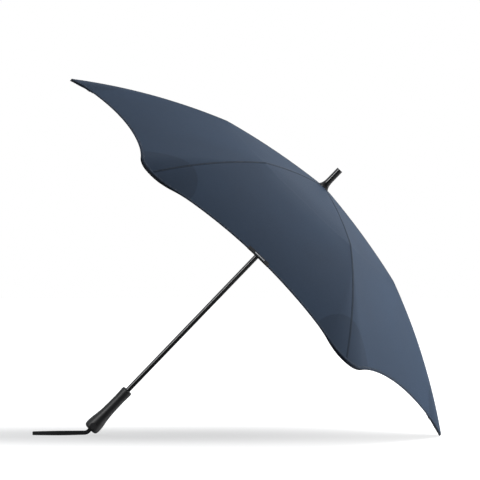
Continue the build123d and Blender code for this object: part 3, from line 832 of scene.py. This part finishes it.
# inward from the rim: the tape's rows, its two lines of stitches and the label's two edges
TAB_ROWS = np.array([0.0, 0.6, 2.2, 5.2, 8.2, 9.9, 10.5]) * MM
TAB_THREADS = (1.6 * MM, 9.2 * MM)
TAB_END_THREAD = TAB_HALF - 1.5 * MM
TAB_END_SPAN = (2 * MM, 9 * MM)
THREAD_POINTS = 30
LABEL_LOW, LABEL_HIGH = 3.8 * MM, 6.8 * MM
LABEL_BASE, LABEL_TOP = 1.0 * MM, 1.45 * MM
PIPING_RADIUS = 0.9 * MM
PIPING_OUT = 0.6 * MM
PIPING_SIDES = 8
# the cloth's tilt at the middle of the rim
BAND_SLOPE = 0.88
BAND_NORMAL = np.array([*0.44 * TO_MIDDLE, 0.898])
BAND_OUTWARD = np.array([*TO_MIDDLE, -0.45])


def rim_band(lateral, inward):
    """Points of the cloth beside a panel's middle, inward from its rim, on a rib's + side."""
    rim_reach = SCALLOP_MIDDLE + SCALLOP - np.sqrt(SCALLOP**2 - lateral**2)
    reach = rim_reach - inward * BAND_SLOPE
    aside = np.array([TO_MIDDLE[1], -TO_MIDDLE[0]])
    plan = reach[..., None] * TO_MIDDLE + lateral[..., None] * aside
    return sheet_over(plan[..., 0], plan[..., 1])


def band_pad(laterals, inwards, low, high):
    """A thin closed pad over part of the rim band, low to high above the cloth."""
    lateral, inward = np.meshgrid(laterals, inwards)
    base = rim_band(lateral, inward)
    points = np.concatenate([(base + BAND_NORMAL * level).reshape(-1, 3) for level in (high, low)])
    return points, sheet_faces(*lateral.shape)


def tab_parts(label_end):
    """Half of the closing band on the rim: the folded tape, its stitches, piping and label."""
    laterals = np.linspace(0, TAB_HALF, TAB_COLUMNS)
    tape = band_pad(laterals, TAB_ROWS, TAB_BASE, TAB_THICK)
    bead = []
    for lateral in laterals:
        centre = rim_band(np.array([lateral]), np.array([-PIPING_OUT]))[0]
        for turn in np.linspace(0, 2 * math.pi, PIPING_SIDES + 1)[:-1]:
            spoke = BAND_NORMAL * math.cos(turn) + BAND_OUTWARD * math.sin(turn)
            bead.append(centre + spoke * PIPING_RADIUS)
    piping = np.array(bead), sweep_faces(len(laterals), PIPING_SIDES)
    label_rows = np.linspace(LABEL_LOW, LABEL_HIGH, 3)
    label = band_pad(np.linspace(0, label_end, 8), label_rows, LABEL_BASE, LABEL_TOP)
    run = np.linspace(0, TAB_END_THREAD, THREAD_POINTS)
    cross = np.linspace(*TAB_END_SPAN, THREAD_POINTS)
    lines = [(run, np.full(THREAD_POINTS, inward), TAB_STITCH) for inward in TAB_THREADS]
    lines.append((np.full(THREAD_POINTS, TAB_END_THREAD), cross, TAB_END_STITCH))
    up = np.repeat(BAND_NORMAL[None], THREAD_POINTS, 0)
    threads = [
        stitches_along(rim_band(lateral, inward) + BAND_NORMAL * TAB_THICK, up, *stitch)
        for lateral, inward, stitch in lines
    ]
    return tape, piping, label, threads


# ---- seams over the ribs ----
SEAM_HALF_WIDTH = 3.0 * MM
SEAM_RISE = 0.38 * MM
SEAM_EDGE = 0.05 * MM
SEAM_DEPTH = 0.35 * MM
SEAM_COLUMNS = 9
SEAM_STITCH_COLUMNS = (2, 6)
INNER_SEAM_ROWS, OUTER_SEAM_ROWS = 60, 80


def seam_points(distances):
    """Closed rings of the flat seam that runs over each ridge, and the upper half of each."""
    offsets = np.linspace(-1, 1, SEAM_COLUMNS)
    lateral = offsets * SEAM_HALF_WIDTH
    x = np.repeat(distances[:, None], len(lateral), 1)
    y = np.repeat(lateral[None, :], len(distances), 0)
    round_radius = corner_radius(x)
    in_corner = np.abs(y) < round_radius * math.sin(HALF_PANEL)
    on_round = round_radius - np.sqrt(np.maximum(round_radius**2 - y**2, 0))
    corner_depth = round_radius * (1 - math.cos(HALF_PANEL))
    on_straight = corner_depth + (np.abs(y) - round_radius / 2) * math.tan(HALF_PANEL)
    sagitta = np.where(in_corner, on_round, on_straight)
    top = np.stack([x, y, sheet_height(x + sagitta, np.abs(y))], -1)
    rise = SEAM_RISE * (1 - offsets**4) + SEAM_EDGE
    upper = top + np.array([0, 0, 1]) * rise[None, :, None]
    lower = top - np.array([0, 0, SEAM_DEPTH])
    return np.concatenate([upper, lower[:, ::-1]], 1), upper


def seam_shape(start, end, rows, rib):
    """One rib's seam between two ridge distances, with its two lines of stitches."""
    rings, upper = seam_points(np.linspace(start, end, rows))
    flat = rings.reshape(-1, 3)
    shape = Shape()
    shape.add(placed(flat, rib, 1), sweep_faces(*rings.shape[:2]), 0, panel_uv(flat))
    up = np.zeros((rows, 3)) + (0, 0, 1)
    for column in SEAM_STITCH_COLUMNS:
        points, faces = stitches_along(upper[:, column], up, *SEAM_STITCH)
        shape.add(placed(points, rib, 1), faces, 1, points[:, :2])
    return shape


# the rows of the half panels: the inner from the crown to the knee, and the outer from under
# the inner's thin border, at these shares of the tuck, out to the rim
TUCKED_SHARES = np.array([1, 0.5, 0.06])
SEAM_END = float(RIM[0]) - 7 * MM
full_width = np.ones(len(ACROSS))
inner_rows = np.linspace(CROWN_RADIUS, KNEE_RADIUS, INNER_ROWS)[:, None] * full_width
tucked_rows = KNEE_RADIUS - TUCKED_SHARES[:, None] * full_width * TUCK
outer_rows = KNEE_RADIUS + (RIM - KNEE_RADIUS) * np.linspace(0, 1, OUTER_ROWS)[:, None]
outer_rows = np.concatenate([tucked_rows, outer_rows])
inner_wedge = wedge(inner_rows)
outer_wedge = wedge(outer_rows, tuck=True)
hem_parts, hem_thread = hem_shape()
pocket_parts = pocket_shape()
binding_parts = binding_shape()
SIDES = {"left": 1, "right": -1}
OUTER_LOOKS = [CLOTH_LOOK, HEM_LOOK, THREAD_LOOK, LINING_LOOK, BINDING_LOOK]
TAB_LOOKS = [TAPE_LOOK, PIPING_LOOK, LABEL_LOOK]
# the closing band crosses the middle of the panel between the fifth and sixth ribs
TAB_LABEL_ENDS = {(4, 1): 12 * MM, (5, -1): 16 * MM}


def add_placed(shape, parts, slot, rib, side):
    """Points and faces made for rib 0's + side, added to a half panel's shape."""
    points, faces = parts
    shape.add(placed(points, rib, side), faces, slot, panel_uv(points) * (1, side))


def ride_panel(piece, body):
    """Ride a rib's body, with a mesh of its own."""
    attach(piece, body)
    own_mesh(piece)


for rib in range(RIB_COUNT):
    for side_name, side in SIDES.items():
        inner = Shape()
        add_placed(inner, inner_wedge, 0, rib, side)
        piece = make_object(f"cloth_inner_{rib + 1}_{side_name}", inner, [CLOTH_LOOK])
        ride_panel(piece, f"rib_{rib + 1}")
        outer = Shape()
        parts = (outer_wedge, hem_parts, hem_thread, pocket_parts, binding_parts)
        looks = OUTER_LOOKS
        for slot, part in enumerate(parts):
            add_placed(outer, part, slot, rib, side)
        if (rib, side) in TAB_LABEL_ENDS:
            tape, piping, label, threads = tab_parts(TAB_LABEL_ENDS[rib, side])
            for slot, part in enumerate((tape, piping, label), len(OUTER_LOOKS)):
                add_placed(outer, part, slot, rib, side)
            for thread in threads:
                add_placed(outer, thread, OUTER_LOOKS.index(THREAD_LOOK), rib, side)
            looks = OUTER_LOOKS + TAB_LOOKS
        piece = make_object(f"cloth_outer_{rib + 1}_{side_name}", outer, looks)
        ride_panel(piece, f"rod_{rib + 1}")
    for part, start, end, rows, body in (
        ("inner", CROWN_RADIUS, KNEE_RADIUS, INNER_SEAM_ROWS, "rib"),
        ("outer", KNEE_RADIUS, SEAM_END, OUTER_SEAM_ROWS, "rod"),
    ):
        shape = seam_shape(start, end, rows, rib)
        seam = make_object(f"seam_{part}_{rib + 1}", shape, [SEAM_LOOK, THREAD_LOOK])
        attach(seam, f"{body}_{rib + 1}")

# the washer of cloth with a short skirt that closes the crown under the sheet: its radii and
# how far below the canopy's top they lie, in millimetres
CAP_SECTION = (
    (9, 1.2), (20.4, 1.7), (21.2, 2.4), (21.2, 6.2), (20.8, 6.5), (20.4, 6.2), (20.3, 2.9), (9, 2.2)
)
CAP_COLUMNS = 48
turns = np.linspace(0, 2 * math.pi, CAP_COLUMNS + 1)[:-1]
circle = np.stack([np.cos(turns), np.sin(turns), np.zeros(CAP_COLUMNS)], -1)
rings = [circle * radius * MM + (0, 0, crown_top.z - drop * MM) for radius, drop in CAP_SECTION]
cap = Shape()
cap.add(np.stack(rings, 1), sweep_faces(CAP_COLUMNS, len(rings), closed=True))
crown_cap = make_object("crown_cap", cap, [LINING_LOOK])
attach(crown_cap, "shaft")
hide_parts("canopy")

# ---- wrist strap: woven webbing looped round the pin in the handle ----
STRAP_PIN_HEIGHT = JOINTS["strap_swing"]["pos_m"][2]
STRAP_WIDTH = 9.6 * MM
STRAP_THICK = 1.5 * MM
STRAP_OFF = 2.35 * MM
BEND_RADIUS = 14 * MM
BEND_LEVEL = -5 * MM
# place along the loop, half its opening there and how fast that changes
LOOP_WAYPOINTS = ((0.0, STRAP_OFF, 0.0), (67 * MM, 9 * MM, 0.0), (117 * MM, 5 * MM, -0.12))


def half_opening(along):
    """Half the loop's opening at a place along it, smooth through the waypoints."""
    for first, last in zip(LOOP_WAYPOINTS, LOOP_WAYPOINTS[1:]):
        if along <= last[0]:
            break
    span = last[0] - first[0]
    share = min(max((along - first[0]) / span, 0), 1)
    return cubic(share, first[1], first[2] * span, last[1], last[2] * span)


def strand_path():
    """One strand from the top of the pin to the far end of the loop: centres and width axes."""
    path = []
    for turn in np.linspace(0, math.pi / 2, 8):
        level = STRAP_PIN_HEIGHT + STRAP_OFF * math.cos(turn)
        path.append(((0, STRAP_OFF * math.sin(turn), level), (1, 0, 0)))
    for level in np.linspace(STRAP_PIN_HEIGHT, BEND_LEVEL, 5)[1:]:
        path.append(((0, STRAP_OFF, level), (1, 0, 0)))
    for turn in np.linspace(0, math.pi / 4, 9)[1:]:
        c, s = math.cos(turn), math.sin(turn)
        path.append(((BEND_RADIUS * (c - 1), STRAP_OFF, BEND_LEVEL - BEND_RADIUS * s), (c, 0, -s)))
    start = np.array(path[-1][0])
    way = np.array([-1, 0, -1]) / math.sqrt(2)
    wide = np.array([1, 0, -1]) / math.sqrt(2)
    for along in np.linspace(0, LOOP_WAYPOINTS[-1][0], 60)[1:]:
        centre = start + way * along
        centre[1] = half_opening(along)
        path.append((centre, wide))
    end_radius = LOOP_WAYPOINTS[-1][1]
    for turn in np.linspace(0, math.pi / 2, 9)[1:]:
        centre = start + way * (LOOP_WAYPOINTS[-1][0] + end_radius * math.sin(turn))
        centre[1] = end_radius * math.cos(turn)
        path.append((centre, wide))
    return np.array([p for p, _ in path]), np.array([w for _, w in path], float)


STRAP_EDGE = 0.3 * MM
STRAP_RIB_DEPTH = 0.07
STRAP_RIBS = 9
STITCH_REACH = 3.6 * MM
STITCH_LIFT = 0.02 * MM
# rows of the path between which each patch of stitches lies, and its lines
STRAP_PATCHES = ((14, 15, 7), (24, 27, 7))


def strap_shape():
    """The whole loop as a ribbed band, with two patches of stitches on its outside."""
    centres, wide = strand_path()
    mirror = np.array([1, -1, 1])
    centres = np.concatenate([centres, centres[-2:0:-1] * mirror])
    wide = np.concatenate([wide, wide[-2:0:-1] * mirror])
    along = unit(np.roll(centres, -1, axis=0) - np.roll(centres, 1, axis=0))
    thick = unit(np.cross(along, wide))
    steps = np.linalg.norm(centres - np.roll(centres, 1, axis=0), axis=1)
    steps[0] = 0
    travelled = np.cumsum(steps)
    half_wide, half_thick = STRAP_WIDTH / 2, STRAP_THICK / 2
    profile, reach = [], []
    waves = np.linspace(-1, 1, 19)[1:-1]
    for sign in (1, -1):
        for wave in waves[:: -sign]:
            groove = 1 + math.cos(wave * STRAP_RIBS * math.pi)
            lift = half_thick * (1 - STRAP_RIB_DEPTH * groove)
            profile.append((wave * (half_wide - STRAP_EDGE), sign * lift))
            reach.append(wave * half_wide)
        profile.append((-sign * half_wide, 0))
        reach.append(-sign * half_wide)
    profile = np.array(profile)
    wide_part = wide[:, None] * profile[None, :, :1]
    rings = centres[:, None] + wide_part + thick[:, None] * profile[None, :, 1:]
    uv = np.stack(np.broadcast_arrays(travelled[:, None], np.array(reach)[None]), -1)
    shape = Shape()
    shape.add(rings, sweep_faces(len(centres), len(profile), closed=True), 0, uv)
    for first, last, count in STRAP_PATCHES:
        for share in np.linspace(0.08, 0.92, count):
            place = centres[first] + (centres[last] - centres[first]) * share
            across = wide[first]
            outward = np.array([0.0, 1.0, 0.0])
            for sign in (1, -1):
                face = place * (1, sign, 1) + outward * sign * (half_thick + STITCH_LIFT)
                run = face + across * np.linspace(-STITCH_REACH, STITCH_REACH, 12)[:, None]
                up = np.repeat(outward[None] * sign, 12, 0)
                shape.add(*stitches_along(run, up, *STRAP_STITCH), 1)
    return shape


strap = make_object("strap_webbing", strap_shape(), [WEBBING_LOOK, THREAD_LOOK], sharp=60)
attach(strap, "wrist_strap")
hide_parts("wrist_strap")

# ---- CAD pieces keep their shape and take their slot's finish ----
SLOT_OF = {part["node"]: part["material_slot"] for part in frame["record"]["subparts"]}

for node, thing in frame["nodes"].items():
    thing.data.materials.clear()
    thing.data.materials.append(SLOT_LOOKS[SLOT_OF[node]])

# ---- camera, rolled so that the upright umbrella seems to rest on its handle and a tip ----
# cosine and sine of the roll
ROLL_ACROSS, ROLL_ALONG = 0.7207, 0.6934
ELEVATION = math.radians(3.05)
look_along = Vector((0, math.cos(ELEVATION), -math.sin(ELEVATION)))
tilted_up = Vector((0, math.sin(ELEVATION), math.cos(ELEVATION)))
picture_right = ROLL_ACROSS * Vector((1, 0, 0)) + ROLL_ALONG * tilted_up
picture_up = -ROLL_ALONG * Vector((1, 0, 0)) + ROLL_ACROSS * tilted_up
TARGET = Vector((-0.0546, 0, 0.566))
PICTURE_WIDTH = 1.125
LENS = 300
SENSOR = 36

camera_data = bpy.data.cameras.new("camera")
camera_data.lens = LENS
camera_data.sensor_width = SENSOR
camera_data.clip_end = 100
camera = new_object("camera", camera_data)
axes = Matrix((picture_right, picture_up, -look_along)).transposed().to_4x4()
axes.translation = TARGET - look_along * PICTURE_WIDTH * LENS / SENSOR
camera.matrix_world = axes
bpy.context.scene.camera = camera

# ---- floor, under the handle and the lowest tip ----
FLOOR_LEVEL = -13.5 * MM
HALF_FLOOR = 6.0
floor_up = Vector((-ROLL_ALONG, 0, ROLL_ACROSS))
floor_mesh = bpy.data.meshes.new("floor")
side_way = Vector((0, 1, 0))
long_way = side_way.cross(floor_up)
floor_centre = floor_up * FLOOR_LEVEL
corners = [
    floor_centre + long_way * (a * HALF_FLOOR) + side_way * (b * HALF_FLOOR)
    for a, b in ((-1, -1), (1, -1), (1, 1), (-1, 1))
]
floor_mesh.from_pydata(corners, [], [(0, 1, 2, 3)])
floor = new_object("floor", floor_mesh)
floor.visible_shadow = False


def floor_look(up_is_front):
    """Pale paper with a painted glow that only the camera sees, clear from behind so that it never hides the
    object.
    """
    look = Look("floor", (0.85, 0.85, 0.85), 0.9)
    nodes, links = look.tree.nodes, look.tree.links
    grain = look.noise(40.0, 3.0)
    look.set("Base Color", look.mix(grain, (0.34, 0.34, 0.34), (0.37, 0.37, 0.37)))
    look.set("Specular IOR Level", 0.0)
    look.set("Emission Color", (1, 1, 1, 1))
    # painted glow: weaker near the middle, so the floor round the object reads darker, and close to white further
    # out
    squeezed = look.node("VectorMath", {0: look.place(), 1: (0.3, 1, 0.3)}, operation="MULTIPLY")
    apart = look.node("VectorMath", {0: squeezed}, output=1, operation="LENGTH")
    glow = look.step(apart, 0.04, 0.4, 0.6, 0.98)
    seen = look.node("LightPath", output="Is Camera Ray")
    look.set("Emission Strength", look.math("MULTIPLY", glow, seen))
    clear = nodes.new("ShaderNodeBsdfTransparent")
    choice = nodes.new("ShaderNodeMixShader")
    back = look.node("NewGeometry", output="Backfacing")
    if not up_is_front:
        back = look.math("SUBTRACT", 1.0, back)
    links.new(back, choice.inputs[0])
    links.new(look.shader.outputs[0], choice.inputs[1])
    links.new(clear.outputs[0], choice.inputs[2])
    links.new(choice.outputs[0], nodes["Material Output"].inputs["Surface"])
    return look.material


floor_mesh.update()
floor_mesh.materials.append(floor_look(floor_mesh.polygons[0].normal.dot(floor_up) > 0))

# ---- light ----
world = bpy.data.worlds.new("studio")
world.use_nodes = True
bpy.context.scene.world = world


def build_surroundings(tree):
    """White behind the object for the camera; for light, dim in front and brighter behind."""
    nodes, links = tree.nodes, tree.links
    seen = nodes["Background"]
    seen.inputs["Color"].default_value = (1, 1, 1, 1)
    seen.inputs["Strength"].default_value = 1.0
    around = nodes.new("ShaderNodeBackground")
    around.inputs["Color"].default_value = (0.93, 0.96, 1.0, 1)
    facing = nodes.new("ShaderNodeVectorMath")
    facing.operation = "DOT_PRODUCT"
    facing.inputs[1].default_value = (look_along * 0.8 + picture_up * 0.6).normalized()
    links.new(nodes.new("ShaderNodeTexCoord").outputs["Generated"], facing.inputs[0])
    ramp = nodes.new("ShaderNodeMapRange")
    ramp.interpolation_type = "SMOOTHSTEP"
    links.new(facing.outputs["Value"], ramp.inputs["Value"])
    for socket, value in (("From Min", -0.6), ("From Max", 0.9), ("To Min", 0.10), ("To Max", 0.62)):
        ramp.inputs[socket].default_value = value
    links.new(ramp.outputs[0], around.inputs["Strength"])
    either = nodes.new("ShaderNodeMixShader")
    links.new(nodes.new("ShaderNodeLightPath").outputs["Is Camera Ray"], either.inputs[0])
    links.new(around.outputs[0], either.inputs[1])
    links.new(seen.outputs[0], either.inputs[2])
    links.new(either.outputs[0], nodes["World Output"].inputs["Surface"])


build_surroundings(world.node_tree)
LIGHT_DISTANCE = 3.0
middle = (CAD_BOX[0] + CAD_BOX[1]) / 2


def soft_light(name, direction, width, height, power):
    """A large softbox that faces the object."""
    data = bpy.data.lights.new(name, "AREA")
    data.shape = "RECTANGLE"
    data.size = width
    data.size_y = height
    data.energy = power
    lamp = new_object(name, data)
    way = Vector(direction).normalized()
    lamp.location = middle + way * LIGHT_DISTANCE
    lamp.rotation_mode = "QUATERNION"
    lamp.rotation_quaternion = way.to_track_quat("Z", "Y")
    lamp.visible_camera = False
    return lamp


key_way = picture_up * 0.6 + picture_right * 0.72 + look_along * 0.45
soft_light("key", key_way, 2.4, 2.4, 110)
# the bright line along the shaft, which lights gloss only
gloss_strip = soft_light("gloss_strip", (-0.74, -0.67, 0.0), 1.1, 2.6, 62)
gloss_strip.visible_diffuse = False
soft_light("rim_right", (0.9, 0.15, 0.25), 1.0, 2.2, 55)

bpy.context.scene.view_settings.view_transform = "Standard"
bpy.context.scene.view_settings.look = "None"
